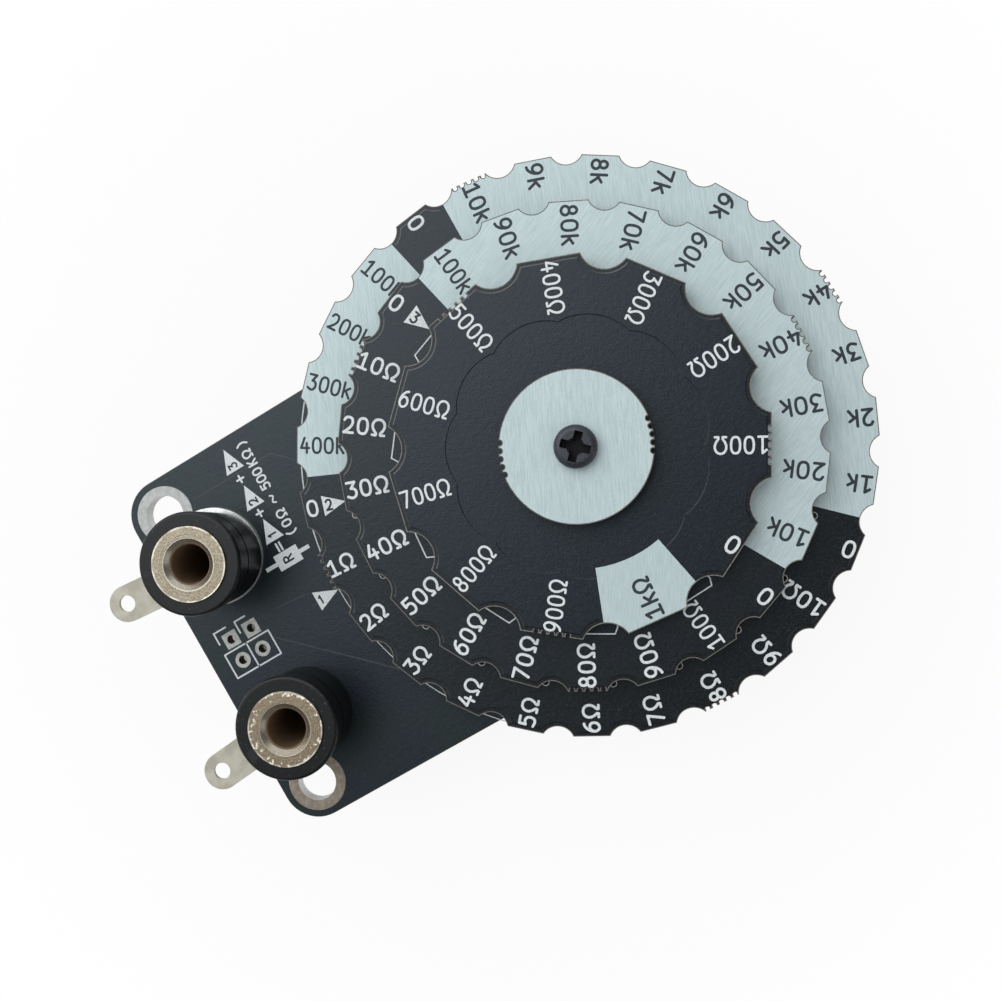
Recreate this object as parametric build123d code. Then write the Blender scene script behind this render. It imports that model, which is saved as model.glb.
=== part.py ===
from build123d import *
import math
import os

# Programmable resistor board: a base circuit board with two 4 mm sockets and
# three notched dial discs that turn about one centre screw.
# X runs from the socket end to the discs, Y across the board, Z up.
# The origin is the middle of the two mounting holes, on the board's underside.

# circuit board stock, shared by the base, the three discs and the cap
board_t = 1.6
pad_t = 0.05
fit = 0.05

# base board: its two corners are round about the mounting holes
corner_r = 3.85
stack_x = 42.2
mount_hole_d = 4.2
mount_wall = 1.025
header_x = 0.8
header_pitch = 2.54
header_hole_d = 1.0

# discs: number of teeth, radius of the tooth corners, angle between the two
# corners of a notch, radius of the notch, the angle of the tooth marked 0 and
# the teeth that show where the disc was broken out of its panel
gap = 1.2
disc_1 = dict(teeth=27, tooth_r=29.3, notch_angle=6.0, notch_r=1.75, turn=162.3, tabs=(1, 8, 15, 21))
disc_2 = dict(teeth=22, tooth_r=24.15, notch_angle=7.1, notch_r=1.7, turn=111.1, tabs=(1, 8, 15))
disc_3 = dict(teeth=11, tooth_r=18.5, notch_angle=13.6, notch_r=2.5, turn=297.5, tabs=(1, 5, 9))
board_end_in = 1.3
board_end_r = disc_1["tooth_r"] - board_end_in
level_h = gap + board_t
disc_1_z = board_t + gap
disc_2_z = disc_1_z + level_h
disc_3_z = disc_2_z + level_h

# a broken tab leaves a row of small round bites in the rim
bite_d = 0.5
bite_in = 0.1
bite_pitch = 0.78
bite_count = 5

# centre of the stack: sleeve, spacers, spring washer, cap, screw and nut
screw_d = 2.5
sleeve_d = 3.5
sleeve_bore_d = screw_d + 2 * fit
turn_hole_d = sleeve_d + 2 * fit
spacer_d = 8.0
spring_d = 9.0
spring_h = 0.8
spring_t = 0.3
cap_d = 14.6
cap_z = disc_3_z + board_t + spring_h
cap_tabs = (159.0, 339.0)
head_d = 4.1
head_h = 1.5
head_round = 0.6
head_turn = 46.0
cross_l = 2.9
cross_w = 0.8
cross_core_d = 1.7
cross_deep = 1.1
nut_af = 5.0
nut_t = 2.0
nut_washer_d = 6.0
nut_washer_t = 0.5
screw_past_nut = 1.1

# resistors: 1.6 by 0.8 mm chips with a metal cap on each end
chip_l = 1.6
chip_w = 0.8
chip_h = 0.45
chip_end = 0.3
chip_step = 0.03

# rings of taps under the discs: the disc above, the height of the board they lie
# on and the angle of the tap marked 0
ring_1 = dict(disc=disc_1, z=board_t, turn=180.0)
ring_2 = dict(disc=disc_2, z=disc_1_z + board_t, turn=disc_1["turn"])
ring_3 = dict(disc=disc_3, z=disc_2_z + board_t, turn=disc_2["turn"])
chip_in = 2.9
chip_to_tap = 2.4
pad_l = 2.0
pad_w = 1.4

# vias: small plated holes through the first disc, past ten of its taps and near the second disc's rim
via_d = 0.4
via_in = 0.15
via_turn = 3.83
via_first = 13
via_count = 10

# sliding contact: a bent strip soldered under each disc
strip_t = 0.15
strip_w = 1.4
strip_foot = 1.8
strip_arm = 3.0
strip_toe = 0.7
toe_lift = 0.35
tip_gap = 0.03

# sockets: collar and insert above the board, at the usual 3/4 inch spacing
socket_x = 3.0
socket_y = 19.05 / 2
collar_top_d = 10.6
collar_foot_d = 9.6
collar_h = 7.9
collar_round = 0.3
groove_down = 3.1
groove_w = 0.3
groove_deep = 0.3
insert_d = 7.65
insert_proud = 0.25
insert_seat = 1.2
thread_d = 5.8
tail_h = 11.2
plug_bore_d = 4.0
plug_bore_h = 18.5
plug_lead = 0.6

# sockets: what holds them under the board, and the loose ring under the first
ring_washer_d = 10.5
ring_washer_play = 0.5
ring_washer_t = 0.6
ring_washer_side = 139.0
insulator_d = 10.0
insulator_t = 1.0
shoulder_wall = 0.85
socket_hole_d = thread_d + 2 * (fit + shoulder_wall + fit)
lug_t = 0.4
lug_ring_d = 10.0
lug_reach = 13.0
lug_tab_w = 4.1
lug_eye_d = 1.85
lug_splay = 5.1
socket_nut_af = 8.0
socket_nut_t = 2.4

# mounting holes stand just outside the sockets' holes and set the board's width
mount_hole_y = socket_y + socket_hole_d / 2 + mount_wall + mount_hole_d / 2
board_w = 2 * (mount_hole_y + corner_r)

up = (Align.CENTER, Align.CENTER, Align.MIN)


def at_stack(z):
    return Pos(stack_x, 0, z)


def tube(outer_d, inner_d, height):
    return extrude(Circle(outer_d / 2) - Circle(inner_d / 2), height)


def hex_nut(across_flats, bore_d, height):
    # hexagon whose corners are turned off at both ends
    corner_d = across_flats / math.cos(math.pi / 6)
    turned = chamfer(Cylinder(corner_d / 2, height, align=up).edges().filter_by(GeomType.CIRCLE),
                     (corner_d - across_flats) / 2)
    blank = extrude(RegularPolygon(corner_d / 2, 6), height) & turned
    return blank - Cylinder(bore_d / 2, height, align=up)


def base_board():
    # straight part with the sockets, and a round end that stays under the first disc
    length = corner_r + stack_x
    straight = Pos(stack_x - length / 2, 0) * Rectangle(length, board_w)
    socket_end = straight.vertices().sort_by(Axis.X)[:2]
    outline = fillet(socket_end, corner_r) + Pos(stack_x, 0) * Circle(board_end_r)
    for side in (1, -1):
        outline -= Pos(0, side * mount_hole_y) * Circle(mount_hole_d / 2)
        outline -= Pos(socket_x, side * socket_y) * Circle(socket_hole_d / 2)
    for pin in GridLocations(header_pitch, header_pitch, 2, 2):
        outline -= Pos(header_x, 0) * pin * Circle(header_hole_d / 2)
    outline -= Pos(stack_x, 0) * Circle(sleeve_bore_d / 2)
    return extrude(outline, board_t)


def polar(radius, angle):
    return (radius * math.cos(math.radians(angle)), radius * math.sin(math.radians(angle)))


def bites(rim_r, angle):
    # the row of bites that one broken tab leaves in a rim
    row = []
    for i in range(bite_count):
        along = math.degrees((i - (bite_count - 1) / 2) * bite_pitch / rim_r)
        row.append(Pos(*polar(rim_r - bite_in, angle + along)) * Circle(bite_d / 2))
    return row


def dial_disc(teeth, tooth_r, notch_angle, notch_r, turn, tabs):
    # straight-sided polygon with a round finger notch bitten out of every corner
    pitch = 360 / teeth
    half_tooth = math.radians((pitch - notch_angle) / 2)
    half_notch = math.radians(notch_angle / 2)
    flat_r = tooth_r * math.cos(half_tooth)
    corner_at = flat_r / math.cos(math.radians(pitch / 2))
    half_chord = tooth_r * math.sin(half_notch)
    notch_at = tooth_r * math.cos(half_notch) + math.sqrt(notch_r**2 - half_chord**2)
    corners = [turn + (k + 0.5) * pitch for k in range(teeth)]
    outline = make_face(Polyline([polar(corner_at, a) for a in corners], close=True))
    for a in corners:
        outline -= Pos(*polar(notch_at, a)) * Circle(notch_r)
    for k in tabs:
        outline -= bites(flat_r, turn + k * pitch)
    return extrude(outline - Circle(turn_hole_d / 2), board_t)


def cap_disc():
    outline = Circle(cap_d / 2) - Circle(sleeve_bore_d / 2)
    for angle in cap_tabs:
        outline -= bites(cap_d / 2, angle)
    return extrude(outline, board_t)


def tap_angle(ring, k):
    # the taps follow the dial labels, so they run clockwise from the one marked 0
    return ring["turn"] - k * 360 / ring["disc"]["teeth"]


def chip_r(ring):
    return ring["disc"]["tooth_r"] - chip_in


def tap_r(ring):
    return chip_r(ring) - chip_to_tap


def tap_pads(ring):
    pads = []
    for k in range(ring["disc"]["teeth"]):
        spot = at_stack(ring["z"]) * Rot(0, 0, tap_angle(ring, k)) * Pos(tap_r(ring), 0, 0)
        pads.append(spot * Box(pad_l, pad_w, pad_t, align=up))
    return Compound(pads)


def vias(ring):
    holes = []
    for k in range(via_first, via_first + via_count):
        spot = Rot(0, 0, tap_angle(ring, k) + via_turn) * Pos(ring["disc"]["tooth_r"] - via_in, 0, 0)
        holes.append(spot * Cylinder(via_d / 2, board_t, align=up))
    return holes


def chip():
    # one chip resistor, lying along Y
    middle = Box(chip_w - 2 * chip_step, chip_l - 2 * chip_end, chip_h - chip_step, align=up)
    solid = middle
    for side in (1, -1):
        end = Box(chip_w, chip_end, chip_h, align=up)
        solid += Pos(0, side * (chip_l - chip_end) / 2, 0) * end
    return solid


def resistors(ring, first, count):
    # a run of equal resistors, each between one tap and the next
    one = chip()
    chips = []
    for k in range(first, first + count):
        spot = at_stack(ring["z"]) * Rot(0, 0, tap_angle(ring, k + 0.5)) * Pos(chip_r(ring), 0, 0)
        chips.append(spot * one)
    return Compound(chips)


def sliding_contact(ring):
    # foot flat on the underside of the disc, arm bent down to the taps, toe turned up
    drop = gap - pad_t - tip_gap - strip_t / 2
    tip_y = strip_arm
    path = Polyline((-strip_foot, -strip_t / 2), (0, -strip_t / 2), (tip_y, -drop),
                    (tip_y + strip_toe, toe_lift - drop))
    side_view = Plane.YZ * trace(path, strip_t)
    strip = Pos(-strip_w / 2, -tip_y, 0) * extrude(side_view, strip_w)
    spot = at_stack(ring["z"] + gap) * Rot(0, 0, ring["disc"]["turn"]) * Pos(tap_r(ring), 0, 0)
    return spot * strip


def spring_washer():
    # shallow cone that presses the discs together
    inner_r = turn_hole_d / 2
    outer_r = spring_d / 2
    section = Plane.XZ * make_face(Polyline([(inner_r, spring_h - spring_t), (inner_r, spring_h),
                                             (outer_r, spring_t), (outer_r, 0)], close=True))
    return revolve(section, Axis.Z)


def centre_screw():
    # pan head with a cross recess on a plain shank
    head = Cylinder(head_d / 2, head_h, align=up)
    head = fillet(head.edges().filter_by(GeomType.CIRCLE).sort_by(Axis.Z)[-1], head_round)
    for angle in (0, 90):
        arm = Box(cross_l, cross_w, cross_deep, align=up)
        head -= Pos(0, 0, head_h - cross_deep) * Rot(0, 0, head_turn + angle) * arm
    head -= Pos(0, 0, head_h - cross_deep) * Cone(cross_w / 2, cross_core_d / 2, cross_deep, align=up)
    top = cap_z + board_t
    end = -nut_washer_t - nut_t - screw_past_nut
    shank = Pos(0, 0, end) * Cylinder(screw_d / 2, top - end, align=up)
    return Pos(stack_x, 0, 0) * (shank + Pos(0, 0, top) * head)


def collar():
    # moulded sleeve, a little wider at the top, with one groove around it
    solid = Cone(collar_foot_d / 2, collar_top_d / 2, collar_h, align=up)
    rim = solid.edges().filter_by(GeomType.CIRCLE).sort_by(Axis.Z)[-1]
    solid = fillet(rim, collar_round)
    solid -= Pos(0, 0, collar_h - groove_down) * tube(2 * collar_top_d, collar_foot_d - groove_deep, groove_w)
    solid -= Cylinder(thread_d / 2 + fit, collar_h, align=up)
    return solid - Pos(0, 0, insert_seat) * Cylinder(insert_d / 2 + fit, collar_h, align=up)


def insert(foot_z):
    # barrel that takes the plug, with the threaded tail going down through the board
    top = foot_z + collar_h + insert_proud
    seat = foot_z + insert_seat
    barrel = Pos(0, 0, seat) * Cylinder(insert_d / 2, top - seat, align=up)
    solid = barrel + Pos(0, 0, -tail_h) * Cylinder(thread_d / 2, seat + tail_h, align=up)
    solid -= Pos(0, 0, top - plug_bore_h) * Cylinder(plug_bore_d / 2, plug_bore_h, align=up)
    mouth = solid.edges().filter_by(GeomType.CIRCLE).filter_by(lambda e: abs(e.radius - plug_bore_d / 2) < 0.01)
    return chamfer(mouth.sort_by(Axis.Z)[-1], plug_lead)


def insulator():
    # plastic washer with a shoulder that fills the board's hole
    washer = Pos(0, 0, -insulator_t) * Cylinder(insulator_d / 2, insulator_t, align=up)
    shoulder = Cylinder(socket_hole_d / 2 - fit, board_t, align=up)
    bore = Pos(0, 0, -insulator_t) * Cylinder(thread_d / 2 + fit, insulator_t + board_t, align=up)
    return washer + shoulder - bore


def solder_lug(side):
    # flat tab with a ring around the tail, an eye at the end and a slight splay outwards
    reach = Pos(-lug_reach / 2, 0) * Rectangle(lug_reach, lug_tab_w)
    outline = Circle(lug_ring_d / 2) + reach + Pos(-lug_reach, 0) * Circle(lug_tab_w / 2)
    outline -= Circle(thread_d / 2 + fit)
    outline -= Pos(-lug_reach, 0) * Circle(lug_eye_d / 2)
    return Pos(0, 0, -insulator_t - lug_t) * Rot(0, 0, -side * lug_splay) * extrude(outline, lug_t)


def socket_nut():
    nut = hex_nut(socket_nut_af, thread_d + 2 * fit, socket_nut_t)
    return Pos(0, 0, -insulator_t - lug_t - socket_nut_t) * nut


def socket(number, side, washer_t):
    # one 4 mm socket with everything that holds it to the board
    foot_z = board_t + washer_t
    place = Pos(socket_x, side * socket_y, 0)
    pieces = dict(collar=Pos(0, 0, foot_z) * collar(), insert=insert(foot_z), insulator=insulator(),
                  solder_lug=solder_lug(side), nut=socket_nut())
    return {f"socket_{number}_{name}": place * shape for name, shape in pieces.items()}


def ring_washer():
    # loose metal ring under the first collar, pushed to one side of its play
    ring = tube(ring_washer_d, thread_d + 2 * ring_washer_play, ring_washer_t)
    shift = Pos(*polar(ring_washer_play - fit, ring_washer_side))
    return Pos(socket_x, socket_y, board_t) * shift * ring


nodes = {"base_board": base_board()}
nodes.update(socket(1, 1, ring_washer_t))
nodes["socket_1_ring_washer"] = ring_washer()
nodes.update(socket(2, -1, 0))

nodes["base_tap_pads"] = tap_pads(ring_1)
nodes["resistors_1_ohm"] = resistors(ring_1, 0, 10)
nodes["resistors_1_kilohm"] = resistors(ring_1, 11, 10)
nodes["resistors_100_kilohm"] = resistors(ring_1, 22, 4)

nodes["disc_1_board"] = at_stack(disc_1_z) * (dial_disc(**disc_1) - vias(ring_2))
nodes["disc_1_contact"] = sliding_contact(ring_1)
nodes["disc_1_tap_pads"] = tap_pads(ring_2)
nodes["resistors_10_ohm"] = resistors(ring_2, 0, 10)
nodes["resistors_10_kilohm"] = resistors(ring_2, 11, 10)

nodes["disc_2_board"] = at_stack(disc_2_z) * dial_disc(**disc_2)
nodes["disc_2_contact"] = sliding_contact(ring_2)
nodes["disc_2_tap_pads"] = tap_pads(ring_3)
nodes["resistors_100_ohm"] = resistors(ring_3, 0, 10)

nodes["disc_3_board"] = at_stack(disc_3_z) * dial_disc(**disc_3)
nodes["disc_3_contact"] = sliding_contact(ring_3)

nodes["centre_sleeve"] = at_stack(board_t) * tube(sleeve_d, sleeve_bore_d, cap_z - board_t)
nodes["spacer_lower"] = at_stack(board_t) * tube(spacer_d, turn_hole_d, gap)
nodes["spacer_middle"] = at_stack(disc_1_z + board_t) * tube(spacer_d, turn_hole_d, gap)
nodes["spacer_upper"] = at_stack(disc_2_z + board_t) * tube(spacer_d, turn_hole_d, gap)
nodes["spring_washer"] = at_stack(disc_3_z + board_t) * spring_washer()
nodes["cap_disc"] = at_stack(cap_z) * cap_disc()
nodes["centre_screw"] = centre_screw()
nodes["centre_nut_washer"] = at_stack(-nut_washer_t) * tube(nut_washer_d, sleeve_bore_d, nut_washer_t)
nodes["centre_nut"] = at_stack(-nut_washer_t - nut_t) * hex_nut(nut_af, sleeve_bore_d, nut_t)

os.makedirs("parts", exist_ok=True)
for name, shape in nodes.items():
    export_step(shape, f"parts/{name}.step")
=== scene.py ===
import math
import bpy
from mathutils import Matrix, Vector
from mathutils.geometry import delaunay_2d_cdt


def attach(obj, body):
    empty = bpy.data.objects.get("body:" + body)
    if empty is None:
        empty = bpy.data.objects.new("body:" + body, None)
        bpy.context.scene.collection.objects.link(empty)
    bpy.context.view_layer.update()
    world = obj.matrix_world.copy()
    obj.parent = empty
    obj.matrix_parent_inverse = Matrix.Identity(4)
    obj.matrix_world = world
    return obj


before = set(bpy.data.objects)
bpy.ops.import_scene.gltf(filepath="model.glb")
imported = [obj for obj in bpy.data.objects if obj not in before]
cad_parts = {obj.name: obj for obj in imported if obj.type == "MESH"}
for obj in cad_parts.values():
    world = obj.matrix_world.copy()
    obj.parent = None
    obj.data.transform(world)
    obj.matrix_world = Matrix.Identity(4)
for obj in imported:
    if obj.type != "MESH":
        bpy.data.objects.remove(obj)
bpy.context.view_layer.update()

# Programmable resistor board. Sizes here are millimetres in the board's own frame, as in the CAD:
# X runs from the sockets to the dials, Y across, Z up, with the origin between the two mounting
# holes on the underside. Meshes are turned into metres only where they are made.


# Base board, bare. Glass cloth and epoxy pressed to a 1.6 mm sheet, then drilled and routed.
# Only its cut edges and hole walls stay bare, a dusty grey brown with the layers of cloth in it.

class Wire:
    """One socket of a finish. Sums on it add their own Math or Vector Math nodes."""

    def __init__(self, finish, socket):
        self.finish = finish
        self.socket = socket

    def work(self, operation, *parts):
        vector = any(isinstance(part, Wire) and part.socket.type == "VECTOR" for part in parts)
        kind = "ShaderNodeVectorMath" if vector else "ShaderNodeMath"
        return self.finish.node(kind, {"operation": operation}, dict(enumerate(parts)))

    def __add__(self, other):
        return self.work("ADD", self, other)

    def __sub__(self, other):
        return self.work("SUBTRACT", self, other)

    def __rsub__(self, other):
        return self.work("SUBTRACT", other, self)

    def __mul__(self, other):
        return self.work("MULTIPLY", self, other)

    def __pow__(self, other):
        return self.work("POWER", self, other)

    def __gt__(self, other):
        return self.work("GREATER_THAN", self, other)

    def __abs__(self):
        return self.work("ABSOLUTE", self)

    __radd__ = __add__
    __rmul__ = __mul__

    def ramp(self, low, high):
        """0 below low and 1 above high, with a soft step between them."""
        return self.finish.node("ShaderNodeMapRange", {"interpolation_type": "SMOOTHSTEP"},
                                {0: self, 1: low, 2: high})


class Finish:
    """A material whose pattern is placed in millimetres of the board's own frame."""

    def __init__(self, name):
        self.material = bpy.data.materials.new(name)
        self.material.use_nodes = True
        self.tree = self.material.node_tree
        self.tree.nodes.clear()
        self.place = self.node("ShaderNodeTexCoord", {}, {}, "Object") * 1000
        split = self.node("ShaderNodeSeparateXYZ", {}, {0: self.place}).socket.node
        self.x, self.y, self.z = (Wire(self, split.outputs[i]) for i in range(3))

    def node(self, kind, settings, sockets, out=0):
        made = self.tree.nodes.new(kind)
        for word, value in settings.items():
            setattr(made, word, value)
        for key, value in sockets.items():
            socket = made.inputs[key]
            if isinstance(value, Wire):
                self.tree.links.new(value.socket, socket)
            elif hasattr(socket.default_value, "__len__") and not hasattr(value, "__len__"):
                socket.default_value = [value] * len(socket.default_value)
            else:
                socket.default_value = value
        return Wire(self, made.outputs[out]) if made.outputs else None

    def noise(self, size, detail=2.0, place=None):
        """Cloudy 0 to 1, with clouds about that size."""
        spot = place or self.place
        return self.node("ShaderNodeTexNoise", {}, {"Vector": spot, "Scale": 1 / size, "Detail": detail})

    def grain(self, turn, length, width):
        """Hairlines of that length and width, drawn in one direction."""
        cos, sin = math.cos(math.radians(turn)), math.sin(math.radians(turn))
        along = self.x * (cos / length) + self.y * (sin / length)
        across = self.y * (cos / width) - self.x * (sin / width)
        spot = self.node("ShaderNodeCombineXYZ", {}, {0: along, 1: across, 2: self.z})
        return self.noise(1, 3.0, spot)

    def from_axis(self, x, y):
        """Distance from an upright axis."""
        return ((self.x - x) ** 2 + (self.y - y) ** 2) ** 0.5

    def mix(self, factor, first, second):
        return self.node("ShaderNodeMix", {"data_type": "RGBA"}, {0: factor, 6: first, 7: second}, 2)

    def surface(self, colour, rough, metal=0.0, height=None, **fixed):
        """The shader itself. The height is in millimetres, and the rest are sockets by name."""
        sockets = {"Base Color": colour, "Roughness": rough, "Metallic": metal}
        sockets.update({word.replace("_", " "): value for word, value in fixed.items()})
        if height is not None:
            sockets["Normal"] = self.node("ShaderNodeBump", {}, {"Height": height, "Distance": 0.001})
        shader = self.node("ShaderNodeBsdfPrincipled", {}, sockets)
        self.node("ShaderNodeOutputMaterial", {}, {0: shader})
        return self


def paint(red, green, blue):
    """A colour as it is seen, 0 to 255, as the linear one that a shader takes."""
    linear = [((c / 255 + 0.055) / 1.055) ** 2.4 for c in (red, green, blue)]
    return linear + [1.0]


def dress(finish, *nodes):
    for node in nodes:
        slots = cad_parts[node].data.materials
        slots.clear()
        slots.append(finish.material)


def laminate_finish():
    finish = Finish("bare_laminate")
    layers = finish.z.work("SINE", finish.z * 40.0 + finish.noise(1.5) * 4.0)
    cloth = finish.noise(0.12, 3.0)
    colour = finish.mix(cloth.ramp(0.35, 0.65), paint(112, 109, 104), paint(146, 142, 136))
    colour = finish.mix(layers.ramp(-0.2, 0.9) * 0.5, colour, paint(88, 84, 76))
    return finish.surface(colour, 0.75 + cloth * 0.15, height=cloth * 0.02, Specular_IOR_Level=0.3)


laminate = laminate_finish()
dress(laminate, "base_board", "disc_1_board", "disc_2_board", "disc_3_board")


# Solder mask of the base board. A black, slightly green epoxy film that is printed over both
# sides and stops just short of the routed edge. It is left open where metal is to be soldered.

board_t = 1.6
mask_t = 0.025
sunk = 0.01  # the films start this far inside their board, so that no gap shows
base_gap = 0.05
stack_x = 42.2
half_width = 20.35
corner_r = 3.85
mount_y = 16.5
board_end_r = 28.0
socket_spots = ((3.0, 9.525), (3.0, -9.525))
header_x, header_half_pitch = 0.8, 1.27
header_spots = [(header_x + header_half_pitch * i, header_half_pitch * j) for i in (-1, 1) for j in (-1, 1)]

# for each board with a ring of taps: the radius of its chips and of its taps, the angle of the tap
# marked 0 and the number of taps
tap_rings = {
    "base": (26.4, 24.0, 180.0, 27),
    "disc_1": (21.25, 18.85, 162.3, 22),
    "disc_2": (15.6, 13.2, 111.1, 11),
}
spacer_open = (stack_x, 0, 4.1)


def polar(radius, angle):
    """A point at that radius and angle from the dials' axis."""
    return (stack_x + radius * math.cos(math.radians(angle)), radius * math.sin(math.radians(angle)))


def arc(x, y, radius, start, end):
    steps = max(4, math.ceil(abs(end - start) / 360 * 24 * (1 + radius / 4) ** 0.8))
    angles = [math.radians(start + (end - start) * i / steps) for i in range(steps + 1)]
    return [(x + radius * math.cos(a), y + radius * math.sin(a)) for a in angles]


def circle(x, y, radius):
    return arc(x, y, radius, 0, 360)[:-1]


def moved(outline, x, y, turn):
    cos, sin = math.cos(math.radians(turn)), math.sin(math.radians(turn))
    return [(x + u * cos - v * sin, y + u * sin + v * cos) for u, v in outline]


def block(length, width, x=0.0, y=0.0, turn=0.0):
    u, v = length / 2, width / 2
    return moved([(-u, -v), (u, -v), (u, v), (-u, v)], x, y, turn)


def base_outline(inset):
    round_r = board_end_r - inset
    meet = math.degrees(math.asin((half_width - inset) / round_r))
    return (arc(0, -mount_y, corner_r - inset, 180, 270) + arc(stack_x, 0, round_r, meet - 180, 180 - meet)
            + arc(0, mount_y, corner_r - inset, 90, 180))


def filled(rule, **outlines):
    """A flat shape as points and triangles. It covers each spot where the rule says yes to the names
    of the outlines that lie round that spot."""
    points, loops, names = [], [], []
    for name, group in outlines.items():
        for outline in group:
            area = sum(a[0] * b[1] - b[0] * a[1] for a, b in zip(outline, outline[1:] + outline[:1]))
            loops.append(list(range(len(points), len(points) + len(outline))))
            names.append(name)
            points += outline if area > 0 else outline[::-1]
    spots = [Vector(p) for p in points]
    all_triangles, merge_within = 0, 1e-5
    flat, _, faces, _, _, owners = delaunay_2d_cdt(spots, [], loops, all_triangles, merge_within, True)
    kept = [face for face, owner in zip(faces, owners) if rule({names[i] for i in owner})]
    used = sorted({i for face in kept for i in face})
    place = {old: new for new, old in enumerate(used)}
    return [tuple(flat[i]) for i in used], [tuple(place[i] for i in face) for face in kept]


def piece(name, points, faces, finish, body, smooth=None):
    """A mesh from points in millimetres, that rides on a body of the CAD model."""
    mesh = bpy.data.meshes.new(name)
    mesh.from_pydata([(x / 1000, y / 1000, z / 1000) for x, y, z in points], [], faces)
    mesh.materials.append(finish.material)
    if smooth:
        mesh.shade_smooth()
        mesh.set_sharp_from_angle(angle=math.radians(smooth))
    made = bpy.data.objects.new(name, mesh)
    bpy.context.scene.collection.objects.link(made)
    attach(made, body)


class Film:
    """A thin layer on a board, of flat shapes that are laid one by one."""

    def __init__(self, *shapes):
        self.shapes = list(shapes)

    def lay(self, shape, x, y, turn):
        self.shapes.append((moved(shape[0], x, y, turn), shape[1]))

    def make(self, name, low, high, finish, body, slot=None):
        points, faces = [], []
        for flat, triangles in self.shapes:
            top = len(points)
            low_down = top + len(flat)
            points += [(x, y, high) for x, y in flat] + [(x, y, low) for x, y in flat]
            edges = {edge for a, b, c in triangles for edge in ((a, b), (b, c), (c, a))}
            faces += [(top + a, top + b, top + c) for a, b, c in triangles]
            faces += [(low_down + c, low_down + b, low_down + a) for a, b, c in triangles]
            rims = [(a, b) for a, b in edges if (b, a) not in edges]
            faces += [(low_down + a, low_down + b, top + b, top + a) for a, b in rims]
        piece(name, points, faces, finish, body)


def mask_finish(name, first, second, relief=None):
    """The film, with the relief of the copper under it in millimetres where that shows."""
    finish = Finish(name)
    cloud = finish.noise(9.0, 5.0)
    tint = finish.mix(cloud.ramp(0.42, 0.6), first, second)
    fine = finish.noise(0.14, 2.0)
    colour = finish.mix(fine.ramp(0.5, 0.68) * 0.7, tint, paint(36, 40, 44))
    dust = finish.noise(0.24, 1.0).ramp(0.75, 0.8)
    colour = finish.mix(dust * 0.5, colour, paint(92, 97, 99))
    height = fine * 0.016 + finish.noise(0.45) * 0.016
    if relief:
        height = height + relief(finish)
    return finish.surface(colour, 0.28 + fine * 0.18, height=height, Specular_IOR_Level=0.42,
                          Specular_Tint=[0.8, 0.93, 1.0, 1.0])


mask = mask_finish("mask_of_base", paint(22, 33, 31), paint(25, 28, 37))


def covered(inside):
    return "board" in inside and "open" not in inside


ring_washer_spot = (socket_spots[0][0] - 0.34, socket_spots[0][1] + 0.295)  # a little off its socket


def ring_openings(body, chips):
    """Openings in the mask for a ring of tap pads and the chips between them."""
    chip_r, tap_r, turn, taps = tap_rings[body]
    tap_angles = [turn - k * 360 / taps for k in range(taps)]
    chip_angles = [turn - (k + 0.5) * 360 / taps for k in chips]
    return ([block(2.1, 1.5, *polar(tap_r, a), a) for a in tap_angles]
            + [block(0.95, 2.5, *polar(chip_r, a), a) for a in chip_angles])


# each opening is a little wider than the pad, washer or collar that lies in it
base_chips = [k for k in range(26) if k not in (10, 21)]
pads_open = [circle(0, side * mount_y, 3.15) for side in (1, -1)]
pads_open += [block(1.74, 1.74, x, y) if y > 0 else circle(x, y, 0.87) for x, y in header_spots]
collars_open = [circle(*ring_washer_spot, 5.2), circle(*socket_spots[1], 4.7)]
insulators_open = [circle(*spot, 5.05) for spot in socket_spots]
nut_washer_open = [circle(stack_x, 0, 3.1)]
board = [base_outline(base_gap)]
top_open = pads_open + collars_open + [circle(*spacer_open)] + ring_openings("base", base_chips)
Film(filled(covered, board=board, open=top_open)).make(
    "base_mask_top", board_t - sunk, board_t + mask_t, mask, "base", "circuit_board")
Film(filled(covered, board=board, open=pads_open + insulators_open + nut_washer_open)).make(
    "base_mask_under", -mask_t, sunk, mask, "base", "circuit_board")


# Plated holes of the base board. Copper is plated on the walls of the four header holes and the two
# mounting holes, and ends in a ring or square of tinned copper on both faces.

pad_rise = 0.03


def tin_finish(name, low, high, metal, painted_wall_light=0.0):
    """Tinned copper, with the walls of its hole made paler by painted light."""
    finish = Finish(name)
    lumps = finish.noise(0.5, 3.0)
    grit = finish.noise(0.14, 2.0)
    colour = finish.mix(lumps.ramp(0.35, 0.65), low, high)
    colour = finish.mix(grit.ramp(0.6, 0.75) * 0.4, colour, paint(214, 214, 210))
    # painted light: the walls of the hole are made paler than the rest of the plating
    wall = (1 - finish.z.ramp(board_t - 0.1, board_t)) * painted_wall_light
    colour = finish.mix(wall, colour, paint(242, 242, 240))
    rough = 0.42 + lumps * 0.15 + grit * 0.1
    return finish.surface(colour, rough, metal, height=lumps * 0.004 + grit * 0.004)


solder_tin = tin_finish("solder_tin", paint(174, 178, 176), paint(192, 195, 193), 0.3, 0.9)
warm_tin = tin_finish("warm_tin", paint(138, 127, 113), paint(158, 147, 133), 0.3, 0.9)
pad_tin = tin_finish("pad_tin", paint(166, 168, 164), paint(192, 195, 191), 0.3)
# the barrels of the header holes are painted dark, as painted shade deep in the small holes
shaded_plating = tin_finish("shaded_plating", paint(66, 62, 53), paint(88, 84, 73), 0.2)


def turned(name, profile, x, y, finish, body, steps=48):
    """A closed profile of radius and height, turned about an upright axis. It goes up on its inner side."""
    points, faces = [], []
    for i in range(steps):
        a = 2 * math.pi * i / steps
        points += [(x + r * math.cos(a), y + r * math.sin(a), z) for r, z in profile]
    count = len(profile)
    for i in range(steps):
        for j in range(count):
            here, there = i * count, (i + 1) % steps * count
            k = (j + 1) % count
            faces.append((here + j, here + k, there + k, there + j))
    piece(name, points, faces, finish, body, 30)


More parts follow.
